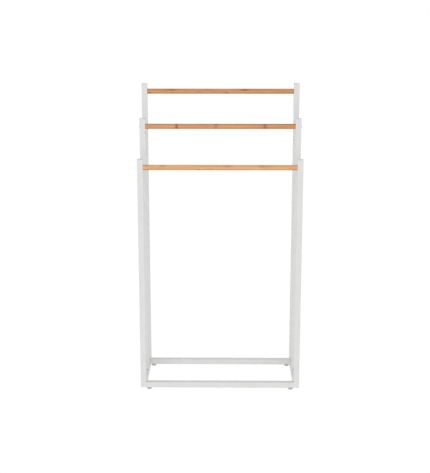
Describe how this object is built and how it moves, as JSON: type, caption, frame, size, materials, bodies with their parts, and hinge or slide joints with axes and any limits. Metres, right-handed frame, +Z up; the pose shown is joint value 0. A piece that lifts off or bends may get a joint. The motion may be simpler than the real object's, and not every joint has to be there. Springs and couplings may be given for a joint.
{
  "type": "towel rack",
  "caption": "Free-standing stepped towel rack: white square-tube frame on a rectangular base, with round bamboo rails between pairs of posts.",
  "frame": {"origin": "on the floor, under the centre of the base rectangle", "axes": "+Z up, +Y towards the rear and tallest rail, +X across the rack to the right as seen from the front"},
  "size_m": [0.4532, 0.205, 0.85],
  "materials": {
    "powder_coat": "satin",
    "bamboo": "satin",
    "cap_plastic": "matte",
    "foot_plastic": "matte",
    "plug_plastic": "matte",
    "screw_white": "satin",
    "zinc_steel": "satin",
    "insert_brass": "satin"
  },
  "bodies": {
    "root": {"base_corner_welds": "powder_coat", "front_base_bar": "powder_coat", "front_left_foot": "foot_plastic", "front_left_post": "powder_coat", "front_left_post_cap": "cap_plastic", "front_left_post_plug": "plug_plastic", "front_post_bolts": "zinc_steel", "front_rail": "bamboo", "front_rail_inserts": "insert_brass", "front_rail_screws": "screw_white", "front_right_foot": "foot_plastic", "front_right_post": "powder_coat", "front_right_post_cap": "cap_plastic", "front_right_post_plug": "plug_plastic", "left_base_bar": "powder_coat", "middle_left_post": "powder_coat", "middle_left_post_cap": "cap_plastic", "middle_left_post_plug": "plug_plastic", "middle_post_bolts": "zinc_steel", "middle_rail": "bamboo", "middle_rail_inserts": "insert_brass", "middle_rail_screws": "screw_white", "middle_right_post": "powder_coat", "middle_right_post_cap": "cap_plastic", "middle_right_post_plug": "plug_plastic", "rear_base_bar": "powder_coat", "rear_left_foot": "foot_plastic", "rear_left_post": "powder_coat", "rear_left_post_cap": "cap_plastic", "rear_left_post_plug": "plug_plastic", "rear_post_bolts": "zinc_steel", "rear_rail": "bamboo", "rear_rail_inserts": "insert_brass", "rear_rail_screws": "screw_white", "rear_right_foot": "foot_plastic", "rear_right_post": "powder_coat", "rear_right_post_cap": "cap_plastic", "rear_right_post_plug": "plug_plastic", "right_base_bar": "powder_coat"}
  },
  "joints": []
}
